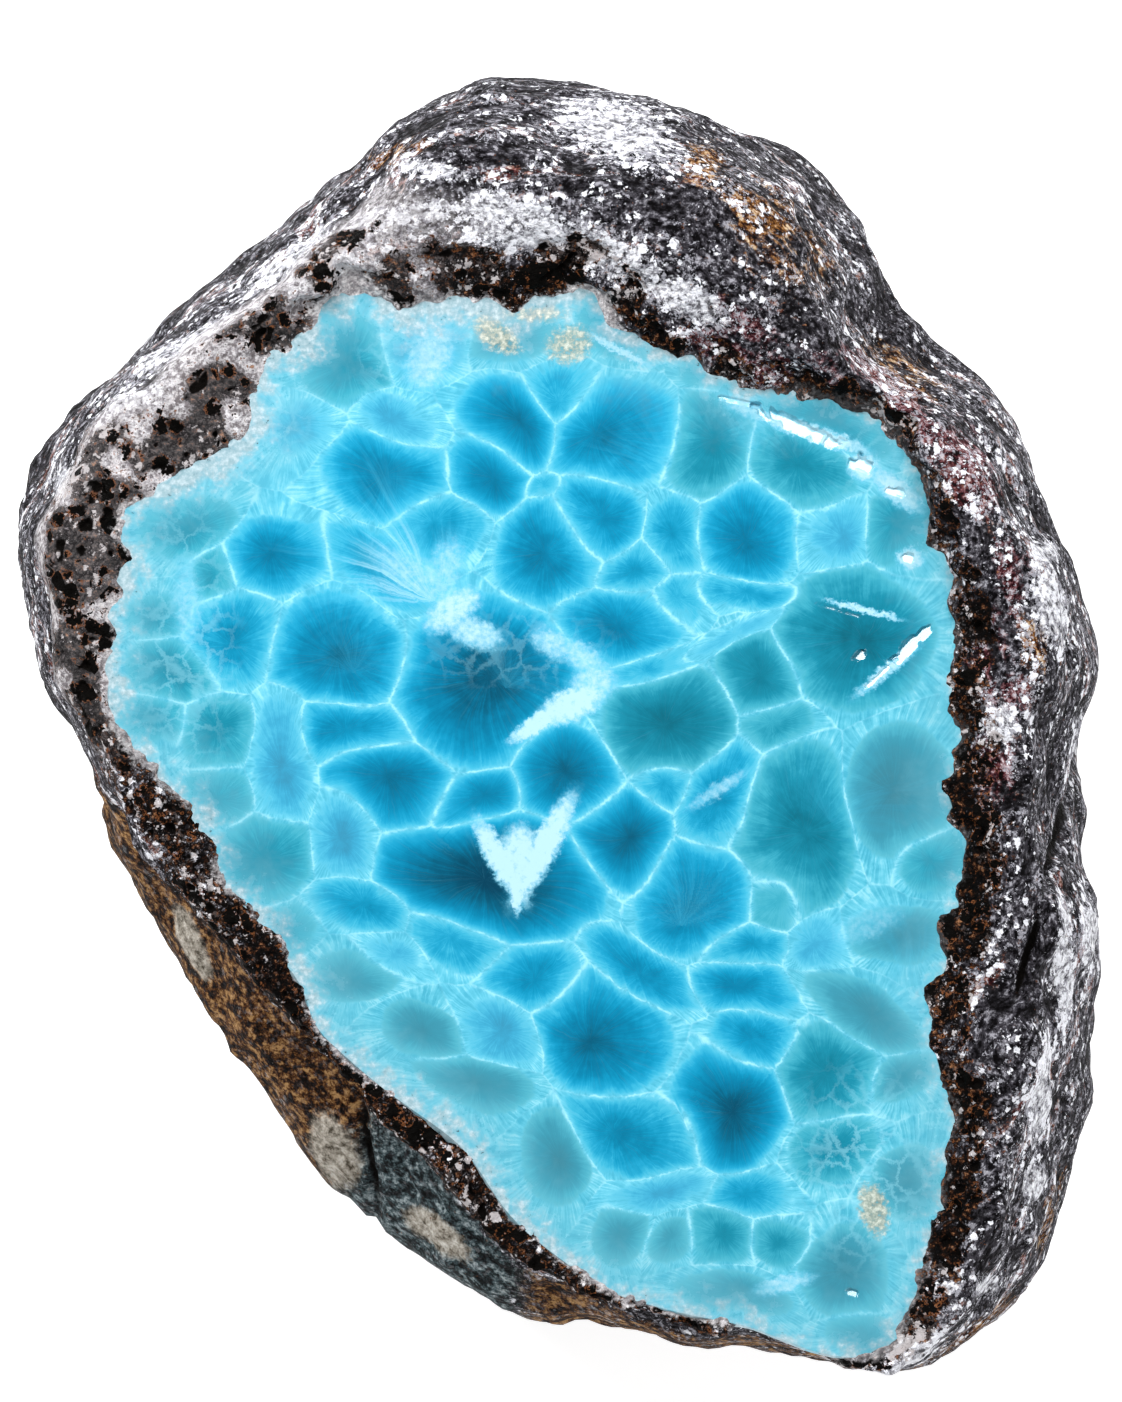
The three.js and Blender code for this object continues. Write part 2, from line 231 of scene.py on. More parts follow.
def refine(piece, chosen):
    """Cuts each face between chosen points in four."""
    select_points(piece, chosen)
    bpy.ops.mesh.subdivide(number_cuts=1, smoothness=0)
    bpy.ops.object.mode_set(mode="OBJECT")


basalt = shown_copy("basalt_host", "basalt_rock")
rough = places_of(basalt)
beyond = outside_window(rough[:, 0], rough[:, 1])
lip = (np.abs(beyond - 0.4) < 0.8) & (rough[:, 2] > LIP_LOW) & (rough[:, 2] < EDGE_LOW)
select_points(basalt, lip)
bpy.ops.transform.resize(value=(LIP_SHARE, LIP_SHARE, 1), center_override=(0, 0, 0))
bpy.ops.transform.translate(value=(0, 0, LIP_LIFT * MM))
bpy.ops.object.mode_set(mode="OBJECT")
finish_with(basalt, "REMESH", mode="VOXEL", voxel_size=ROCK_VOXEL * MM)
finish_with(basalt, "SMOOTH", factor=0.5, iterations=3)

rough = places_of(basalt)
beyond = outside_window(rough[:, 0], rough[:, 1])
refine(basalt, (rough[:, 2] > TOP_ZONE) & (beyond > CONTACT_ZONE[0]))
rough = places_of(basalt)
beyond = outside_window(rough[:, 0], rough[:, 1])
contact = (beyond > CONTACT_ZONE[0]) & (beyond < CONTACT_ZONE[1])
refine(basalt, contact & (rough[:, 2] > CONTACT_LOW))
finish_with(basalt, "SMOOTH", factor=0.5, iterations=2)

rough = places_of(basalt)
x, y, z = rough.T
beyond = outside_window(x, y)
bearing = np.degrees(np.arctan2(y, x)) % 360
radius = np.hypot(x, y)
flow = np.column_stack([np.radians((bearing + FLOW_SEAM) % 360) * FLOW_RADIUS, radius, z])
ragged = bumps(rough, 1.6, 3.1)
crust_width = around(CRUST_WIDTH, bearing)
on_top = eased(z, 40, 42.5)
crust = on_top * (1 - eased(beyond + CRUST_WANDER * ragged, crust_width * 0.75, crust_width * 1.15))
crust *= 1 - 0.75 * around(CRUST_GAPS, bearing) * eased(bumps(rough, 3.6, 30.5), 0.1, -0.25)
frost = np.clip(around(FROST_WIDTH, bearing), 0.1, 1)
cut = on_top * around(CUT_MATRIX, bearing) * (1 - eased(beyond, 8, 11))
below_rim = 1 - eased(z + 0.8 * ragged, 35, 38)
shelf_brown = around(SHELF_BROWN, bearing) * below_rim
shelf_slate = around(SHELF_SLATE, bearing) * below_rim
coarse_pits = pits_of(rough, 1.9, 11.3) * (bumps(rough, 4.0, 7.7) > 0.02)
fine_pits = pits_of(rough, 1.05, 21.9) * (bumps(rough, 2.6, 5.2) > 0.0)
pits = np.clip(coarse_pits + 0.8 * fine_pits, 0, 1) * crust * eased(beyond, 0.7, 1.9)

bare = eased(z, 0.4, 3.5) * eased(beyond, -1.4, 0) * np.where((beyond < 0) & (z < POCKET_HIGH), 0, 1)
clefts = patches(CLEFTS, x, y) * eased(z, 14, 20)
lumps = bumps(rough, 3.1, 1.7)
grit = bumps(rough, 1.4, 9.2)
knobs = 0.55 * bumps(rough, 6.0, 12.9) + 0.5 * lumps + 0.22 * grit
streaks = 0.5 * (0.3 - np.abs(bumps(flow / [3.2, 1, 1], 2.3, 4.4)))
grains = 0.28 * bumps(rough, 0.62, 2.9) + 0.3 * ragged
relief = (knobs + streaks) * (1 - 0.6 * cut) * (1 - 0.5 * crust) + crust * grains
lift = bare * (relief - PIT_DEPTH * pits - CLEFT_DEPTH * clefts - SUNK)
# Painted shade: the crevices between the knobs and along the streaks, which the finish darkens and gives
# fewer flecks.
crevice_shade = eased(-(0.6 * lumps + 0.3 * grit + streaks), 0.05, 0.4)
normals = np.zeros(len(rough) * 3)
basalt.data.vertices.foreach_get("normal", normals)
worked = rough + normals.reshape(-1, 3) * lift[:, None]
bites = CONTACT_BITE * bumps(rough, 2.4, 40.1) * (1 - eased(np.abs(beyond - 0.5), 1.0, 3.5))
bites *= eased(z, 41, 43) * np.minimum(1, around(rim_width, bearing) / 6)
worked[:, :2] *= (1 + bites / np.maximum(radius, 1))[:, None]
worked = np.clip(worked, np.array(cad_low) / MM, np.array(cad_high) / MM)
basalt.data.vertices.foreach_set("co", (worked * MM).ravel())
basalt.data.update()
finish_with(basalt, "SMOOTH", factor=0.4, iterations=1)
bpy.ops.object.shade_smooth()

basalt_fields = {
    "crust": crust,
    "pits": np.maximum(pits, 0.7 * clefts),
    "crevice_shade": crevice_shade,
    "cut": cut,
    "beyond": beyond,
    "frost": frost,
    "calcite": patches(CALCITE, x, y) * eased(z, 22, 32),
    "maroon": patches(MAROON, x, y) * eased(z, 30, 38),
    "rust": patches(RUST, x, y) * eased(z, 20, 30),
    "shelf_pale": patches(SHELF_PALE, x, y) * below_rim,
    "shelf_brown": shelf_brown,
    "shelf_slate": shelf_slate,
}


def keep_field(piece, name, values, kind="FLOAT", domain="POINT"):
    """Keeps a value for each point or edge of a piece, which its finish reads by name."""
    field = piece.data.attributes.new(name, kind, domain).data
    field.foreach_set("vector" if kind == "FLOAT_VECTOR" else "value", np.ravel(values).astype(np.float32))


for name, values in basalt_fields.items():
    keep_field(basalt, name, values)


def colour(code):
    """A colour written as on a paint card, #RRGGBB, in linear light."""
    parts = [int(code[k : k + 2], 16) / 255 for k in (1, 3, 5)]
    return tuple(p / 12.92 if p <= 0.04045 else ((p + 0.055) / 1.055) ** 2.4 for p in parts) + (1,)


def feed_in(tree, made, feeds):
    """Puts links or values on a node's first inputs. None leaves an input as it is."""
    for socket, feed in zip(made.inputs, feeds):
        if isinstance(feed, bpy.types.NodeSocket):
            tree.links.new(feed, socket)
        elif feed is not None:
            socket.default_value = feed


def add(tree, kind, *feeds, out=0, **settings):
    """Adds a node with its feeds, and gives one of its outputs."""
    made = tree.nodes.new("ShaderNode" + kind)
    for name, value in settings.items():
        setattr(made, name, value)
    feed_in(tree, made, feeds)
    return made.outputs[out]


def maths(tree, operation, *feeds, clamp=False):
    return add(tree, "Math", *feeds, operation=operation, use_clamp=clamp)


def plus(tree, *feeds):
    return maths(tree, "ADD", *feeds)


def times(tree, *feeds):
    """The first two feeds multiplied, plus the third if there is one."""
    return maths(tree, "MULTIPLY_ADD" if len(feeds) > 2 else "MULTIPLY", *feeds)


def vector_maths(tree, operation, *feeds):
    """Works with places or directions. A length or a dot product comes out as a plain value."""
    out = 1 if operation in ("LENGTH", "DOT_PRODUCT") else 0
    return add(tree, "VectorMath", *feeds, operation=operation, out=out)


def scaled(tree, vector, factor):
    return vector_maths(tree, "SCALE", vector, None, None, factor)


def step(tree, value, low, high, to_low=0.0, to_high=1.0):
    """Eases a value from to_low at low to to_high at high."""
    return add(tree, "MapRange", value, low, high, to_low, to_high, interpolation_type="SMOOTHSTEP")


def paint(tree, share, under, over):
    return add(tree, "Mix", share, *[None] * 5, under, over, out=2, data_type="RGBA")


def ramp(tree, value, stops):
    """Colours along a value, as pairs of place and colour."""
    made = tree.nodes.new("ShaderNodeValToRGB")
    tree.links.new(value, made.inputs[0])
    points = made.color_ramp.elements
    points[0].position, points[1].position = stops[0][0], stops[-1][0]
    points[0].color, points[1].color = colour(stops[0][1]), colour(stops[-1][1])
    for position, code in stops[1:-1]:
        points.new(position).color = colour(code)
    return made.outputs[0]


def grain(tree, place, scale, detail=2.0, roughness=0.5, out=0):
    return add(tree, "TexNoise", place, None, scale, detail, roughness, out=out)


def scattered(tree, place, scale, feature="F1"):
    """Points strewn at random. Its outputs give how far the nearest is, and that one's own colour."""
    made = tree.nodes.new("ShaderNodeTexVoronoi")
    made.feature = feature
    tree.links.new(place, made.inputs["Vector"])
    made.inputs["Scale"].default_value = scale
    return made.outputs


def attribute(tree, name):
    return add(tree, "Attribute", attribute_name=name, out=2)


def new_material(name):
    """A material with its shader, and the stone's own coordinates in mm."""
    material = bpy.data.materials.new(name)
    material.use_nodes = True
    tree = material.node_tree
    shader = tree.nodes["Principled BSDF"]
    place = add(tree, "TexCoord", out=3)
    place = scaled(tree, place, 1 / MM)
    return material, tree, shader, place


def basalt_finish():
    """Weathered basalt: flecks and streaks that run around the stone, patches, the pitted crust, and painted
    shade in its crevices and towards the bottom of its flanks.
    """
    material, tree, shader, place = new_material("weathered_basalt")
    up = add(tree, "SeparateXYZ", place, out=2)
    c, s = math.cos(math.radians(FLOW_SEAM)), math.sin(math.radians(FLOW_SEAM))
    ahead = vector_maths(tree, "DOT_PRODUCT", place, (c, -s, 0))
    aside = vector_maths(tree, "DOT_PRODUCT", place, (s, c, 0))
    turn = maths(tree, "ARCTAN2", aside, ahead)
    run = times(tree, turn, FLOW_RADIUS)
    flat = vector_maths(tree, "MULTIPLY", place, (1.0, 1.0, 0.0))
    reach = vector_maths(tree, "LENGTH", flat)
    wander = grain(tree, place, 0.16, 0.0, out=1)
    wander = vector_maths(tree, "SUBTRACT", wander, (0.5, 0.5, 0.5))
    wander = scaled(tree, wander, STREAK_WANDER)
    flow_place = add(tree, "CombineXYZ", times(tree, run, 0.85), reach, up)
    flow_place = vector_maths(tree, "ADD", flow_place, wander)
    long_place = vector_maths(tree, "MULTIPLY", flow_place, (0.25, 1.0, 1.0))

    calcite = attribute(tree, "calcite")
    crust = attribute(tree, "crust")
    crevice_shade = attribute(tree, "crevice_shade")
    body = grain(tree, flow_place, 1.7, 3.0, 0.68)
    mottle = grain(tree, long_place, 0.36, 3.0, 0.6)
    crumb = grain(tree, place, 1.5, 3.0, 0.7)
    jag = vector_maths(tree, "SUBTRACT", crumb.node.outputs[1], (0.5, 0.5, 0.5))
    jag = scaled(tree, jag, 1.5)
    jagged = vector_maths(tree, "ADD", place, jag)
    base = paint(tree, step(tree, body, 0.40, 0.56), colour("#050406"), colour("#3a383e"))
    base = paint(tree, step(tree, body, 0.54, 0.68), base, colour("#98979f"))
    base = paint(tree, step(tree, mottle, 0.52, 0.70, 0.0, 0.4), base, colour("#6a6970"))

    plenty = plus(tree, step(tree, mottle, 0.36, 0.64, -0.13, 0.26), times(tree, calcite, 0.5))
    plenty = times(tree, crevice_shade, -0.3, plenty)
    flecks = []
    for scale, least, most in FLECKS:
        fleck = scattered(tree, jagged, scale)
        pick = add(tree, "SeparateColor", fleck["Color"])
        size = plus(tree, step(tree, pick, 0.2, 1.0, least, most), plenty)
        inside = maths(tree, "SUBTRACT", size, fleck["Distance"])
        flecks.append(step(tree, inside, -0.03, 0.05))
    # Painted shade, near black, in the crevices.
    base = paint(tree, times(tree, crevice_shade, 0.8), base, colour("#040304"))
    ragged = plus(tree, crumb, -0.5)
    rusty = ramp(tree, body, [(0.38, "#080403"), (0.46, "#3a1d0a"), (0.54, "#8a5a26"), (0.66, "#d8c09a")])
    winy = ramp(tree, body, [(0.38, "#0a0405"), (0.47, "#3c151b"), (0.55, "#754549"), (0.66, "#c9babe")])
    seams = times(tree, plus(tree, mottle, -0.5), 2.0, ragged)
    for name, coat in (("rust", rusty), ("maroon", winy)):
        cover = times(tree, seams, 2.6, attribute(tree, name))
        base = paint(tree, step(tree, cover, 0.4, 1.1, 0.0, 0.85), base, coat)
    base = paint(tree, times(tree, flecks[1], 0.75), base, colour("#a9a9b2"))
    base = paint(tree, times(tree, flecks[0], 0.95), base, colour("#e6e7ee"))

    pebbly = grain(tree, place, 1.0, 3.0, 0.75)
    brown = ramp(tree, pebbly, [(0.38, "#050302"), (0.46, "#24150b"), (0.53, "#5c3a1e"), (0.64, "#a98355")])
    slate = ramp(tree, pebbly, [(0.36, "#030404"), (0.46, "#1b2325"), (0.55, "#4a5a5e"), (0.67, "#9fabae")])
    sand = ramp(tree, pebbly, [(0.34, "#4a4338"), (0.44, "#8d867a"), (0.56, "#b4aea3"), (0.7, "#d6d2ca")])
    coats = ("shelf_brown", brown, 1.6), ("shelf_slate", slate, 1.6), ("shelf_pale", sand, 0.7)
    for name, coat, wear in coats:
        cover = times(tree, ragged, wear, attribute(tree, name))
        base = paint(tree, step(tree, cover, 0.3, 0.7, 0.0, 0.92), base, coat)
    chalk = ramp(tree, body, [(0.38, "#1b191c"), (0.45, "#77767d"), (0.54, "#c6c7cd"), (0.66, "#f2f3f7")])
    cover = times(tree, ragged, 3.0, calcite)
    base = paint(tree, step(tree, cover, 0.55, 1.1, 0.0, 0.92), base, chalk)

    matrix = paint(tree, step(tree, crumb, 0.40, 0.60), colour("#7b7476"), colour("#e6e3e6"))
    base = paint(tree, times(tree, attribute(tree, "cut"), 0.75), base, matrix)
    crust_cover = times(tree, ragged, 2.6, crust)
    dark = ramp(tree, crumb, [(0.42, "#020202"), (0.53, "#0a0605"), (0.61, "#341d11"), (0.7, "#8c6244")])
    dark = paint(tree, times(tree, flecks[1], 0.35), dark, colour("#665c5a"))
    dark = paint(tree, times(tree, flecks[0], 0.8), dark, colour("#bcb6b7"))
    crusted = step(tree, crust_cover, 0.45, 0.7)
    crusted = maths(tree, "MULTIPLY_ADD", attribute(tree, "cut"), -0.12, crusted, clamp=True)
    base = paint(tree, crusted, base, dark)

    hole = scattered(tree, place, HOLES)
    pick = add(tree, "SeparateColor", hole["Color"])
    hole_size = plus(tree, step(tree, pick, 0.1, 1.0, -0.05, 0.62), times(tree, ragged, 1.2))
    deep = maths(tree, "SUBTRACT", hole_size, hole["Distance"])
    deep = maths(tree, "MINIMUM", deep, plus(tree, crust_cover, -0.55))
    gilt = times(tree, step(tree, deep, -0.15, -0.07), step(tree, body, 0.42, 0.56))
    base = paint(tree, times(tree, gilt, 0.8), base, colour("#7a4a2b"))
    base = paint(tree, step(tree, deep, -0.05, 0.0), base, colour("#040302"))
    base = paint(tree, step(tree, attribute(tree, "pits"), 0.3, 0.6), base, colour("#060403"))
    frost_cover = times(tree, ragged, 3.0, attribute(tree, "beyond"))
    frosted = times(tree, step(tree, frost_cover, 0.9, 0.2), attribute(tree, "frost"))
    frost = ramp(tree, body, [(0.4, "#8a8689"), (0.52, "#bdb9bb"), (0.66, "#ece9ea")])
    base = paint(tree, frosted, base, frost)
    # Painted shade: the colour is darkened towards the bottom of the flanks, to 0.55 at 10 mm.
    low_flank_shade = step(tree, up, 10.0, 38.0, 0.55, 1.0)
    base = add(tree, "Mix", 1.0, *[None] * 5, base, add(tree, "CombineColor", low_flank_shade, low_flank_shade, low_flank_shade),
               out=2, data_type="RGBA", blend_type="MULTIPLY")
    tree.links.new(base, shader.inputs["Base Color"])

    gloss = step(tree, flecks[0], 0.0, 1.0, 0.75, 0.35)
    tree.links.new(gloss, shader.inputs["Roughness"])
    shader.inputs["Specular IOR Level"].default_value = 0.05
    relief = grain(tree, place, 2.2, 2.0, 0.6)
    bump = add(tree, "Bump", 0.8, 0.5 * MM, None, relief)
    tree.links.new(bump, shader.inputs["Normal"])
    return material


basalt.data.materials.append(basalt_finish())
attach(basalt, "root")
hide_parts("basalt_host")


# The larimar filling.
# Blue pectolite that grew in rounded sprays from many points, until they met in pale veins as cells.
# It fills the basalt's pocket and is part of the stone; its top is ground and polished to a window.
FACE_SPAN = 50.0  # mm, about the polished face's half length
FACE_SUNK = 0.1  # mm that the face lies under its rough shape
FACE_REACH = (1.4, 0.2)  # how far the polished face runs on under the crust: mm, and share of the rim
SIDE_REACH = (2.2, 0.35)  # the same for the filling's side below it
SIDE_LOW = WINDOW_PLANE - 4  # mm, the lower edge of that side
SIDE_LIFT = 0.8  # mm that the side's upper ring is lifted
SWAY = 1.6  # mm that the cells' edges wander
SWAY_REACH = 9.0  # mm, over which they wander
SWAY_FINE = 0.5  # mm that they wander besides, over shorter ways
SWAY_FINE_REACH = 4.5  # mm
FIBRES = 18.0  # how fine the fibres are
FIBRE_RUN = 0.8  # how soon they change along their length
VEIN = 0.17  # mm, half width of the pale veins
FUZZ = 1.5  # mm that the white growths' edges wander
VEIN_FUZZ = 0.2  # share of it that the veins wander too
ZONES = (4, 5)  # across and along the window
ZONE_MARGIN = 1.2  # mm around a zone, within which its neighbours' cells count too
NET_SCALE = 0.5  # meshes to a mm
FAN_FIBRES = 9.0  # how fine the fans' strands are
SHARP = 12  # degrees at an edge, from which it stays crisp, so that the polished face is flat
CHIP_RAG = 0.8  # how far the chips' edges wander, as a share
CHIP_SLOPE = 0.412  # of the small chips' floors, so that they catch the studio's lights
CHIP_MARGINS = (2.4, 1.4, 0.8)  # mm around the chips, in which the face is cut finer each time
DEEPEST = 10.0  # mm from a vein to the end of the colours below
BLUES = [
    (0.0, "#62c2db"), (0.06, "#3aabcc"), (0.12, "#1d98bf"), (0.19, "#0e8ab1"), (0.28, "#077a9f"),
    (0.38, "#056f93"), (0.46, "#056687"), (0.55, "#055b79"), (0.73, "#044b65"), (1.0, "#033a52"),
]
GREENS = [
    (0.0, "#52abbc"), (0.08, "#389aad"), (0.18, "#1b8094"), (0.4, "#0f6e81"), (0.7, "#0a5868"),
    (1.0, "#084853"),
]
# Looks: how fast the blue deepens, share of green, share of milk.
DARK = (1.7, 0, 0)
DEEP = (1.2, 0, 0)
DEEP_TEAL = (1.3, 0.8, 0)
MID = (0.95, 0.1, 0)
TEAL = (0.95, 0.8, 0)
PALE_TEAL = (1.4, 0.85, 0.12)
LIGHT = (0.8, 0, 0.12)
# Cells: x, y of the middle, half length and half width in mm, turn in degrees, look.
CELLS = [
    (-15.5, 22.5, 5, 4, -25, DEEP), (-6.5, 22.5, 3, 2.5, -20, DARK), (-4, 27, 4, 3, -20, DARK),
    (0.5, 29.5, 2.5, 2, 0, MID), (-1, 15.5, 4, 4.5, 0, DEEP), (3.5, 19.5, 3, 3, 0, DEEP),
    (4.5, 26.5, 5, 4, 15, DEEP), (6.5, 14.5, 2.5, 2, 10, MID), (10.5, 17.5, 2, 3, 10, MID),
    (17, 17, 4, 3.5, 0, DEEP), (17, 12, 4.5, 1, 0, MID), (5.5, 9.5, 4.5, 3, 10, DEEP),
    (10, 11.5, 2, 1.5, 0, MID), (18, 5, 3.5, 3.5, 20, DEEP_TEAL), (10, 0.5, 5, 4.5, 20, DEEP_TEAL),
    (8.5, 5.5, 2.5, 1, 20, MID), (16, 8.5, 4.5, 0.5, 22, LIGHT), (-1, 21.5, 1, 0.5, 0, MID),
    (27, 8, 6, 6, 0, TEAL), (19.5, 0.5, 2.5, 1.5, 0, TEAL), (10, -5, 2, 2, 20, MID),
    (6, -10, 4, 3.5, 0, DARK), (15, -6, 2.5, 4.5, -20, MID), (21.5, -9.5, 5, 7, -8, TEAL),
    (31, -6, 4, 5.5, 0, PALE_TEAL), (34, -11.5, 2.5, 2.5, 0, TEAL), (12, -15.5, 4.5, 4, 0, DEEP),
    (19.5, -15, 2.5, 2.5, -30, TEAL), (18, -19.5, 3, 1.5, 0, MID), (23.5, -19, 2, 2, 0, LIGHT),
    (30.5, -18.5, 4.5, 2.5, 0, PALE_TEAL), (8, -22, 5, 2, -30, DEEP), (17, -23.5, 4, 2, 0, DEEP),
    (17.5, -28, 3, 2, 20, DEEP), (4, -28, 5.5, 5, -20, DEEP), (15.5, -34.5, 5, 5, 0, DARK),
    (24.5, -30.5, 4, 4, 0, TEAL), (28, -25.5, 5.5, 2, -35, PALE_TEAL), (31, -31.5, 3, 2, 20, PALE_TEAL),
    (6, -37, 5, 3, -15, MID), (0, -39.5, 3.5, 4, -20, PALE_TEAL), (17, -42, 3.5, 1.5, 0, MID),
    (9, -42.5, 4, 1.5, 15, LIGHT), (6, -46, 2, 2.5, 0, PALE_TEAL), (14.5, -46.5, 2.5, 2, 0, TEAL),
    (10.5, -47, 1.5, 1.5, 0, PALE_TEAL), (20.5, -46.5, 2, 1.5, 0, TEAL), (-25.5, 15, 4.5, 3, 0, DEEP),
    (-31, 14, 1.5, 2, 0, TEAL), (-20, 6.5, 5.5, 4, 0, DEEP), (-19, -0.5, 4.5, 2.5, 0, DEEP),
    (-16, -4.5, 4.5, 3, -10, DARK), (-6.5, 4, 7.5, 7, 0, DEEP), (-8, -6, 3, 1.5, 0, DARK),
    (0.5, -5, 4, 3.5, 0, DARK), (-6.5, -14, 9.5, 5.5, -12, DARK), (-11, 18, 3, 2.5, 0, MID),
    (-16.5, 14.2, 5, 2, 155, MID),
    (-29, 8, 3, 3.5, 0, MID), (-34.5, 5, 4, 2.5, 0, TEAL), (-36.5, 10, 2.5, 1.5, 0, TEAL),
    (-30.5, -0.5, 2.5, 2.5, 0, TEAL), (-36.5, 0.5, 3, 2, 0, TEAL), (-25, -3, 2.5, 5.5, 0, LIGHT),
    (-26.5, -11.5, 4, 3.5, -10, TEAL), (-19.5, -10, 3, 4, 0, LIGHT), (-18, -16.5, 3.5, 2, 0, MID),
    (-18.5, -23, 3.5, 2, 0, PALE_TEAL), (-9.5, -19, 4.5, 2, -25, MID), (-2, -23, 3.5, 2.5, 0, DEEP),
    (-12, -28, 3.5, 2.5, -25, PALE_TEAL), (-7.5, -32.5, 5, 2, -20, PALE_TEAL),
    (-15.5, -21, 2, 1.5, 0, LIGHT), (-5.5, -28, 3.5, 2.5, -40, LIGHT), (-19.5, 33.5, 4, 3.5, 0, TEAL),
    (-14.5, 28, 3.5, 2, -30, LIGHT), (5, 36, 3.5, 2.5, -20, TEAL), (-33.5, 18, 3.5, 2, 0, TEAL),
    (-30.5, -6, 2, 1.5, 0, TEAL), (-24.5, -19, 2, 2, 0, TEAL), (14, 31, 2.5, 1.5, -30, TEAL),
    (24.5, 27, 4.5, 1.5, -15, TEAL), (22, 23, 4, 2.5, -25, TEAL), (13.5, 25.5, 3.5, 4, 0, TEAL),
    (31, 18, 3, 2.5, 0, TEAL), (25.5, 17.5, 2.5, 2.5, 0, LIGHT), (-11.5, 34.5, 3.5, 2.5, 0, LIGHT),
    (-4.5, 34.5, 3.5, 2, 0, PALE_TEAL), (31.5, -41.5, 2.5, 3.5, 0, PALE_TEAL),
    (26, -49, 3.5, 3.5, 0, PALE_TEAL), (27.5, -54.5, 2.5, 2, 0, PALE_TEAL),
    (16.5, -51.5, 4.5, 1.5, -10, PALE_TEAL), (25.5, -38, 2.5, 2.5, 0, TEAL), (-23.5, 27, 2.5, 2, 0, LIGHT),
]
# White feathery clouds, and beside the chips painted highlights where the chips catch the lights: x, y, half
# length, half width in mm, turn in degrees, strength.
CLOUDS_AND_GLINTS = [
    (-5.1, -12.3, 4.9, 1.2, 120, 1), (-1.3, -11.2, 6.2, 1.4, 61, 1), (-3.4, -11.6, 3.0, 2.1, 90, 0.85),
    (-3.6, -14.8, 2.5, 0.7, 90, 1), (-1.7, 0.3, 3.5, 0.9, 33, 1), (1.3, 1.9, 3.5, 1.7, 24, 0.95),
    (3.2, 3.7, 2.8, 2.2, 30, 0.55), (-9.5, 10.4, 3.4, 1.8, 35, 0.7), (-12.5, 13.4, 6.5, 2.2, 150, 0.4),
    (-7.5, 8.4, 3.4, 1.6, -20, 0.6), (-0.5, 7.4, 2.6, 1.6, -35, 0.5), (2.2, 6.2, 2.6, 1.6, -30, 0.5),
    (-10.0, 14.5, 2.0, 3.4, -10, 0.4), (27.7, 23.4, 1.6, 1.4, 0, 0.8), (31.9, 15.1, 1.4, 1.1, 0, 0.9),
    (23, 26.5, 6.2, 0.9, -19, 0.9), (29.8, 5.0, 4.6, 0.7, 39, 0.6), (27.7, 10.5, 4.2, 0.4, -15, 0.7),
    (5.7, 33.9, 3.6, 0.4, -27, 0.8), (30.8, 21.2, 3.4, 1.2, -38, 0.75),
    (14.5, -5.8, 4.2, 0.8, 33, 0.4), (-11.5, 33.5, 2.4, 4.0, -20, 0.6),
    (-30.5, 26.0, 5.0, 2.0, 38, 0.45), (-33.5, 11.0, 1.8, 5.0, 0, 0.35), (28.0, -18.0, 5.0, 2.0, 20, 0.3),
    (17.0, 28.8, 3.0, 1.0, -25, 0.5), (20.5, -50.5, 3.5, 1.0, 15, 0.5), (-27.5, -17.5, 3.0, 1.0, -50, 0.4),
]
# Fans of white fibres: x, y of the root, facing and spread in degrees, reach in mm, strength.
FANS = [
    (-10.5, 11.9, 152, 58, 16, 0.9), (-10.0, 12.4, 80, 30, 7, 0.8), (9.7, 24.0, 140, 75, 8, 0.25),
    (-18.6, 5.2, 90, 170, 6, 0.2), (-5.0, 2.6, 60, 100, 5, 0.25), (-14.2, 19.0, 110, 60, 8, 0.2),
    (11.5, -17.0, 90, 150, 7, 0.3), (18, 24, 100, 70, 8, 0.3), (-3.5, 35, 250, 70, 7, 0.3),
    (32.5, -25.5, 110, 60, 9, 0.4), (24.5, -8.5, 60, 120, 9, 0.2),
]
# Tan stains along the window's edge, written as the clouds are.
STAINS = [
    (-5.5, 35.2, 3.2, 1.6, -35, 0.8), (1.1, 34.4, 2.8, 2.2, 20, 0.8), (-2.0, 37.2, 4.0, 1.0, 0, 0.6),
    (28.6, -43.8, 1.6, 3.0, 15, 1),
]
# Small chips out of the polish: x, y, half length, half width in mm, turn in degrees.
CHIPS = [
    (16.2, 29.3, 2.2, 0.3, -12), (22.0, 26.9, 4.4, 0.75, -24), (27.7, 23.6, 1.3, 0.8, -22),
    (30.6, 21.2, 0.7, 0.5, -20), (31.9, 7.3, 2.2, 0.7, 45), (29.2, 4.6, 1.6, 0.25, 43),
    (27.3, 6.2, 0.6, 0.5, 45), (26.6, -51.3, 0.5, 0.4, -17), (25.4, 10.4, 2.0, 0.15, -17),
    (31.7, 15.2, 0.7, 0.5, -17),
]
# Nets of fine white threads, written as the clouds are.
NETS = [
    (-27, 26.5, 6, 3.5, 40, 0.6), (28, -40, 7, 9, 0, 0.7), (-34, 8, 5, 14, 0, 0.6), (-13.5, 33, 5, 4, 0, 0.5),
    (17, 28.5, 6, 3, -30, 0.3), (28.5, 24, 4, 4, 0, 0.4), (-4, 7, 9, 3.5, 0, 0.35),
]


def dome_terms(places):
    """The terms of a smooth, gently domed face: the powers of x and y up to the third."""
    x, y = places[:, :2].T / FACE_SPAN
    return np.column_stack([x**i * y**j for i in range(4) for j in range(4 - i)])


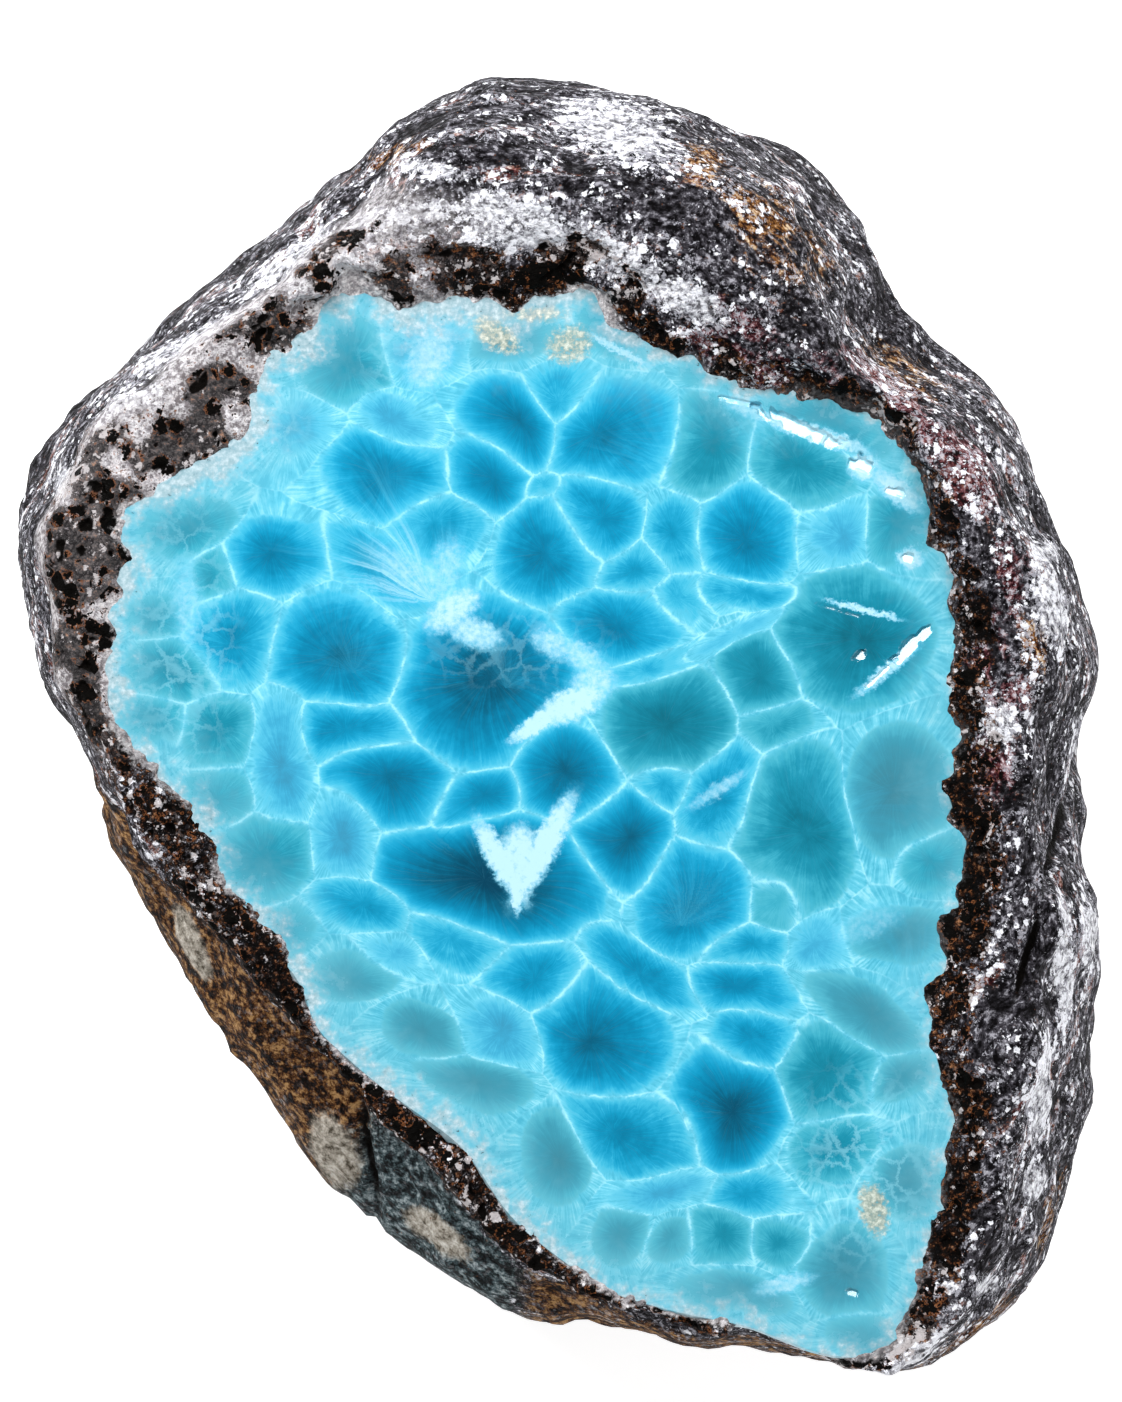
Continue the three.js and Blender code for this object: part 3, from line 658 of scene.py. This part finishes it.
larimar = shown_copy("larimar_fill", "larimar_filling")
rough = places_of(larimar)
ground = rough[:, 2] > FACE_LOW
dome = np.linalg.lstsq(dome_terms(rough[ground]), rough[ground, 2], rcond=None)[0]
rough[ground, 2] = dome_terms(rough[ground]) @ dome - FACE_SUNK
beyond = outside_window(rough[:, 0], rough[:, 1])
rim = np.abs(beyond) < 0.5
face = rim & ground
side = rim & ~face & (rough[:, 2] > SIDE_LOW)
radius = np.hypot(rough[:, 0], rough[:, 1])
bearing = np.degrees(np.arctan2(rough[:, 1], rough[:, 0]))
room = around(rim_width, bearing)
reach = np.minimum(FACE_REACH[0], FACE_REACH[1] * room) * face
reach = reach + np.minimum(SIDE_REACH[0], SIDE_REACH[1] * room) * side
rough[:, :2] *= (1 + reach / np.maximum(radius, 1))[:, None]
rough[:, 2] += SIDE_LIFT * side
larimar.data.vertices.foreach_set("co", (rough * MM).ravel())
ends = np.zeros(len(larimar.data.edges) * 2, int)
larimar.data.edges.foreach_get("vertices", ends)
crease = face[ends.reshape(-1, 2)].all(1)
keep_field(larimar, "crease_edge", crease, domain="EDGE")
finish_with(larimar, "SUBSURF", levels=2, render_levels=2)


def axes(long, wide, turn):
    """The two axes of an ellipse, each divided by its half length, so that its edge is 1 away."""
    c, s = math.cos(math.radians(turn)), math.sin(math.radians(turn))
    return (c / long, s / long, 0), (-s / wide, c / wide, 0)


def shares_of(places, x, y, long, wide, turn):
    """How far places lie from an ellipse's middle, as shares of the way to its edge."""
    offset = places - [x, y, 0]
    long_axis, short_axis = axes(long, wide, turn)
    return np.hypot(offset @ long_axis, offset @ short_axis)


for margin in CHIP_MARGINS:
    flat = places_of(larimar) * [1, 1, 0]
    near = np.zeros(len(flat), bool)
    for x, y, long, wide, turn in CHIPS:
        near |= shares_of(flat, x, y, long + margin, wide + margin, turn) < 1
    refine(larimar, near)
rough = places_of(larimar)
flat = rough * [1, 1, 0]
beyond = outside_window(rough[:, 0], rough[:, 1])
polished = rough[:, 2] > FACE_LOW
ground = polished & (beyond < 0)
rough[ground, 2] = dome_terms(rough[ground]) @ dome - FACE_SUNK
ragged = bumps(flat, 0.7, 6.6)
for x, y, long, wide, turn in CHIPS:
    across = (flat - [x, y, 0]) @ axes(long, wide, turn)[1] * wide + wide
    depth = np.minimum(CHIP_SLOPE * across, 2 * wide - across)
    edge_share = shares_of(flat, x, y, long, wide, turn) + CHIP_RAG * ragged
    chipped = polished * eased(edge_share, 1.1, 0.94)
    rough[:, 2] -= np.maximum(depth, 0) * chipped
larimar.data.vertices.foreach_set("co", (rough * MM).ravel())
larimar.data.update()
bpy.ops.object.shade_smooth_by_angle(angle=math.radians(SHARP))

swayed = flat.copy()
swayed[:, 0] += SWAY * bumps(flat, SWAY_REACH, 4.1) + SWAY_FINE * bumps(flat, SWAY_FINE_REACH, 8.3)
swayed[:, 1] += SWAY * bumps(flat, SWAY_REACH, 14.7) + SWAY_FINE * bumps(flat, SWAY_FINE_REACH, 18.9)
bearing = np.degrees(np.arctan2(rough[:, 1], rough[:, 0]))
keep_field(larimar, "rimward", beyond + around(FROST_WIDTH, bearing))
keep_field(larimar, "swayed", swayed, "FLOAT_VECTOR")


def from_middle(tree, place, middle, long_axis, short_axis):
    """The way from an ellipse's middle to a place, on its own axes."""
    offset = vector_maths(tree, "SUBTRACT", place, middle)
    u = vector_maths(tree, "DOT_PRODUCT", offset, long_axis)
    v = vector_maths(tree, "DOT_PRODUCT", offset, short_axis)
    return add(tree, "CombineXYZ", u, v)


def new_group(name, inputs, outputs):
    """A node group with named inputs and outputs, each with its kind of value."""
    group = bpy.data.node_groups.new(name, "ShaderNodeTree")
    for way, sockets in (("INPUT", inputs), ("OUTPUT", outputs)):
        for socket, kind in sockets:
            group.interface.new_socket(socket, in_out=way, socket_type="NodeSocket" + kind)
    return group, group.nodes.new("NodeGroupInput").outputs, group.nodes.new("NodeGroupOutput").inputs


def use(tree, group, *feeds):
    """Adds a group to a tree with its feeds, and gives its outputs."""
    made = tree.nodes.new("ShaderNodeGroup")
    made.node_tree = group
    feed_in(tree, made, feeds)
    return made.outputs


def cell_group():
    """One cell: compares its edge with the two nearest found so far, and takes over if it is nearer."""
    ways = ("place", "middle", "long axis", "short axis", "look", "look so far", "ray so far")
    inputs = [(name, "Vector") for name in ways]
    inputs += [(name, "Float") for name in ("reach", "first", "second")]
    outputs = [("first", "Float"), ("second", "Float"), ("look", "Vector"), ("ray", "Vector")]
    group, given, result = new_group("larimar_cell", inputs, outputs)
    place, middle, long_axis, short_axis, look, old_look, old_ray, reach, first, second = given[:10]
    ray = from_middle(group, place, middle, long_axis, short_axis)
    shares = vector_maths(group, "LENGTH", ray)
    past = times(group, plus(group, shares, -1.0), reach)
    nearer = maths(group, "LESS_THAN", past, first)
    group.links.new(maths(group, "MINIMUM", past, first), result[0])
    behind = maths(group, "MAXIMUM", past, first)
    group.links.new(maths(group, "MINIMUM", behind, second), result[1])
    for old, new, socket in ((old_look, look, result[2]), (old_ray, ray, result[3])):
        chosen = add(group, "Mix", nearer, None, None, None, old, new, out=1, data_type="VECTOR")
        group.links.new(chosen, socket)
    return group


def look_group():
    """The larimar's colour, from the way to the nearest vein, its cell's look, the white growths and the
    painted highlights beside the chips.
    """
    values = ("first", "second", "cloud_and_glint", "net", "stain", "fan", "rimward")
    inputs = [(name, "Vector") for name in ("place", "knotted", "look", "ray")]
    inputs += [(name, "Float") for name in values]
    group, given, result = new_group("larimar_look", inputs, [("colour", "Color"), ("frost", "Float")])
    place, knotted, look, ray, first, second, cloud_and_glint, net, stain, fan, rimward = given[:11]
    depth, green, milk = add(group, "SeparateXYZ", look).node.outputs
    gap = times(group, maths(group, "SUBTRACT", second, first), 0.5)
    way = vector_maths(group, "NORMALIZE", ray)
    reach = vector_maths(group, "LENGTH", ray)
    sprays = scaled(group, way, FIBRES)
    along = add(group, "CombineXYZ", 0.0, 0.0, times(group, reach, FIBRE_RUN))
    sprays = vector_maths(group, "ADD", sprays, along)
    fibre = plus(group, grain(group, sprays, 1.0, 2.0, 0.6), -0.5)
    drift = plus(group, grain(group, place, 0.55, 3.0, 0.6), -0.5)
    inner = times(group, first, -0.8, times(group, milk, -4.0, 0.95))
    deeper = maths(group, "MINIMUM", gap, inner)
    deeper = times(group, deeper, plus(group, depth, times(group, drift, 1.1)))
    swell = times(group, fibre, 1.0, 1.0)
    deeper = times(group, deeper, maths(group, "DIVIDE", swell, DEEPEST))
    streaky = times(group, depth, -0.08, 0.17)
    streaky = times(group, streaky, step(group, gap, 0.0, 1.0, 0.1, 1.0))
    deeper = times(group, plus(group, fibre, drift), streaky, deeper)

    blue = ramp(group, deeper, BLUES)
    blue = paint(group, green, blue, ramp(group, deeper, GREENS))
    blue = paint(group, milk, blue, colour("#8fc6d3"))
    blue = paint(group, step(group, fibre, 0.05, 0.22, 0.0, 0.14), blue, colour("#4cb6d8"))
    glow = plus(group, fibre, plus(group, drift, 0.5))
    glow = ramp(group, glow, [(0.3, "#3a9fbc"), (0.48, "#57b7d0"), (0.62, "#74c8dd"), (0.76, "#9cdcea")])
    blue = paint(group, step(group, deeper, 0.05, 0.0, 0.0, 0.7), blue, glow)
    vein = times(group, step(group, gap, VEIN, 0.0), step(group, drift, -0.1, 0.12, 0.1, 0.65))
    vein = times(group, vein, step(group, milk, 0.0, 0.2, 1.0, 0.35))
    blue = paint(group, vein, blue, colour("#a6e2f0"))

    mesh = scattered(group, knotted, NET_SCALE, "DISTANCE_TO_EDGE")
    threads = times(group, step(group, mesh["Distance"], 0.13, 0.0, 0.0, 0.6), net)
    blue = paint(group, threads, blue, colour("#8ccfe0"))
    grit = plus(group, grain(group, place, 1.7, 3.0, 0.65), -0.5)
    blue = paint(group, fan, blue, ramp(group, fan, [(0.0, "#2aa6d0"), (0.35, "#4fbcdd"), (0.8, "#abdcea")]))
    # The clouds' white; beside the chips this white is a painted highlight where the chips catch the lights.
    blue = paint(group, step(group, cloud_and_glint, 0.0, 0.55, 0.0, 0.7), blue, colour("#58bcdc"))
    tufts = times(group, times(group, grit, 2.2, 1.1), cloud_and_glint)
    blue = paint(group, step(group, tufts, 0.15, 0.95, 0.0, 0.95), blue, colour("#b3dae7"))

    haze = times(group, drift, 8.0, rimward)
    blue = paint(group, step(group, haze, -6.0, 0.5, 0.0, 0.5), blue, colour("#63a9bb"))
    frost = times(group, grit, 1.8, haze)
    sugar = ramp(group, plus(group, grit, 0.5), [(0.3, "#7b929a"), (0.5, "#a0b0b6"), (0.7, "#d0d7db")])
    blue = paint(group, step(group, frost, -0.7, 1.8, 0.0, 0.75), blue, sugar)
    tan = ramp(group, plus(group, grit, 0.5), [(0.34, "#6f6a55"), (0.5, "#a5a48f"), (0.66, "#dcdac9")])
    stained = times(group, stain, times(group, grit, 2.4, 1.0))
    blue = paint(group, step(group, stained, 0.2, 0.9, 0.0, 0.8), blue, tan)
    speck = times(group, step(group, grit, -0.15, -0.22), step(group, rimward, -0.3, 0.4))
    blue = paint(group, times(group, speck, 0.85), blue, colour("#1c110d"))
    group.links.new(blue, result[0])
    group.links.new(step(group, frost, -2.0, 0.0), result[1])
    return group


def fan_cover(tree, place, x, y, facing, spread, reach, strength):
    """A fan of white fibres that spread from its root, facing a way in degrees."""
    offset = vector_maths(tree, "SUBTRACT", place, (x, y, 0))
    distance = vector_maths(tree, "LENGTH", offset)
    way = vector_maths(tree, "NORMALIZE", offset)
    ahead = (math.cos(math.radians(facing)), math.sin(math.radians(facing)), 0)
    along = vector_maths(tree, "DOT_PRODUCT", way, ahead)
    within = step(tree, along, math.cos(math.radians(spread)), math.cos(math.radians(spread / 4)))
    strands = grain(tree, scaled(tree, way, FAN_FIBRES), 1.0, 3.0, 0.75)
    ends = times(tree, strands, reach * 1.6, reach * 0.2)
    fading = step(tree, maths(tree, "DIVIDE", distance, ends), 1.0, 0.0, 0.0, strength)
    return times(tree, times(tree, within, fading), step(tree, strands, 0.34, 0.62, 0.4, 1.0))


def larimar_finish(name, groups, cells, growths_and_glints, fans):
    """Polished larimar of one zone: cells that deepen from their pale veins, with white growths and painted
    highlights beside the chips.
    """
    material, tree, shader, place = new_material(name)
    flat = vector_maths(tree, "MULTIPLY", place, (1.0, 1.0, 0.0))
    fuzz = grain(tree, flat, 1.4, 3.0, 0.75, out=1)
    fuzz = vector_maths(tree, "SUBTRACT", fuzz, (0.5, 0.5, 0.5))
    fuzz = vector_maths(tree, "MULTIPLY", fuzz, (FUZZ, FUZZ, 0.0))
    fuzzy = vector_maths(tree, "ADD", flat, fuzz)
    swayed = add(tree, "Attribute", attribute_name="swayed", out=1)
    swayed = vector_maths(tree, "ADD", swayed, scaled(tree, fuzz, VEIN_FUZZ))
    one_cell, whole_look = groups
    first, second, look, ray = 1000.0, 1000.0, (0.0, 0.0, 0.0), (1.0, 0.0, 0.0)
    for x, y, long, wide, turn, tone in cells:
        cell = (x, y, 0), *axes(long, wide, turn), tone
        found = use(tree, one_cell, swayed, *cell, look, ray, math.sqrt(long * wide), first, second)
        first, second, look, ray = found[:4]
    covers = []
    for spots in growths_and_glints:
        cover = 0.0
        for x, y, long, wide, turn, strength in spots:
            spot = from_middle(tree, fuzzy, (x, y, 0), *axes(long, wide, turn))
            spot = vector_maths(tree, "LENGTH", spot)
            cover = maths(tree, "MAXIMUM", cover, step(tree, spot, 1.3, 0.3, 0.0, strength))
        covers.append(cover)
    covers.append(0.0)
    for fan in fans:
        covers[-1] = maths(tree, "MAXIMUM", covers[-1], fan_cover(tree, swayed, *fan))
    covers.append(attribute(tree, "rimward"))
    blue, frost = use(tree, whole_look, flat, fuzzy, look, ray, first, second, *covers)
    tree.links.new(blue, shader.inputs["Base Color"])
    tree.links.new(step(tree, frost, 0.0, 1.0, 0.12, 0.5), shader.inputs["Roughness"])
    shader.inputs["IOR"].default_value = 1.6
    return material


def paint_zones():
    """Gives each zone of the window a finish of its own, with only the cells, growths and painted highlights
    that reach it.
    """
    groups = cell_group(), look_group()
    past = np.array([(shares_of(swayed, *cell[:5]) - 1) * math.sqrt(cell[2] * cell[3]) for cell in CELLS])
    nearest = np.argpartition(past, 3, axis=0)[:3]
    middles = np.zeros(len(larimar.data.polygons) * 3)
    larimar.data.polygons.foreach_get("center", middles)
    middles = middles.reshape(-1, 3) / MM
    low, high = middles.min(0), middles.max(0)
    size = (high - low)[:2] / ZONES
    place = np.minimum((middles[:, :2] - low[:2]) / size, np.array(ZONES) - 0.5).astype(int)
    for row in range(ZONES[1]):
        for column in range(ZONES[0]):
            corner = low[:2] + size * (column, row)
            points = (flat[:, :2] > corner - ZONE_MARGIN) & (flat[:, :2] < corner + size + ZONE_MARGIN)
            points = points.all(1)
            cells = [CELLS[k] for k in np.unique(nearest[:, points])]
            growths_and_glints = [[spot for spot in spots if (shares_of(flat[points], *spot[:5]) < 1.6).any()]
                       for spots in (CLOUDS_AND_GLINTS, NETS, STAINS)]
            fans = [fan for fan in FANS if (shares_of(flat[points], *fan[:2], fan[4], fan[4], 0) < 1.3).any()]
            name = f"polished_larimar_{column + 1}_{row + 1}"
            larimar.data.materials.append(larimar_finish(name, groups, cells, growths_and_glints, fans))
    larimar.data.polygons.foreach_set("material_index", place[:, 0] + place[:, 1] * ZONES[0])


paint_zones()
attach(larimar, "root")
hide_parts("larimar_fill")


# The floor, the light and the camera.
# A plain pale table and soft studio light, with the camera straight above the window.
PIXEL = 100 / 1091  # mm to a pixel of the photograph, whose outline is 1091 pixels wide
PHOTO_SIZE = (1122, 1402)
STONE_MIDDLE_PIXEL = (557.5, 725)
TABLE_LIGHT = 0.55  # how far the table is lit from below
CAMERA_HEIGHT = 1600.0  # mm
SKY = 0.62  # brightness of the studio all around
SKY_DARK = 0.05  # and of its dark side above, behind the camera
CAMERA_SIDE = (0.86, 0.96)  # cosines from straight up, between which it darkens
OUTLINE_HEIGHT = 24.0  # mm, at which the stone's outline is widest
SENSOR = 36  # mm

bpy.ops.mesh.primitive_plane_add(size=3, location=(0, 0, 0))
floor = bpy.context.object
floor.name = "floor"
material, _, shader, _ = new_material("pale_table")
shader.inputs["Base Color"].default_value = colour("#f4f4f4")
shader.inputs["Roughness"].default_value = 0.9
shader.inputs["Emission Color"].default_value = colour("#ffffff")
shader.inputs["Emission Strength"].default_value = TABLE_LIGHT
floor.data.materials.append(material)

world = bpy.data.worlds.new("studio")
world.use_nodes = True
tree = world.node_tree
sky_way = add(tree, "TexCoord", out=0)
sky_up = vector_maths(tree, "DOT_PRODUCT", sky_way, (0, 0, 1))
background = tree.nodes["Background"]
tree.links.new(step(tree, sky_up, *CAMERA_SIDE, SKY, SKY_DARK), background.inputs["Strength"])
background.inputs["Color"].default_value = colour("#ffffff")
bpy.context.scene.world = world


def soft_box(name, place, size, power):
    """A square soft light that faces the stone."""
    light = bpy.data.objects.new(name, bpy.data.lights.new(name, "AREA"))
    light.data.shape = "SQUARE"
    light.data.size = size
    light.data.energy = power
    light.location = place
    light.rotation_euler = (-Vector(place)).to_track_quat("-Z", "Y").to_euler()
    bpy.context.scene.collection.objects.link(light)


soft_box("key", (-0.5, 0.55, 0.75), 0.4, 9.0)
soft_box("fill", (0.7, -0.3, 0.6), 0.5, 2.0)
soft_box("strip", (0.25, 0.66, 0.72), 0.34, 4.5)

aim_x = (PHOTO_SIZE[0] / 2 - STONE_MIDDLE_PIXEL[0]) * PIXEL
aim_y = (STONE_MIDDLE_PIXEL[1] - PHOTO_SIZE[1] / 2) * PIXEL
camera = bpy.data.objects.new("camera", bpy.data.cameras.new("camera"))
camera.location = (aim_x * MM, aim_y * MM, CAMERA_HEIGHT * MM)
camera.data.sensor_width = SENSOR
camera.data.lens = SENSOR * (CAMERA_HEIGHT - OUTLINE_HEIGHT) / (PHOTO_SIZE[1] * PIXEL)
bpy.context.scene.collection.objects.link(camera)
bpy.context.scene.camera = camera
bpy.context.scene.view_settings.view_transform = "Standard"
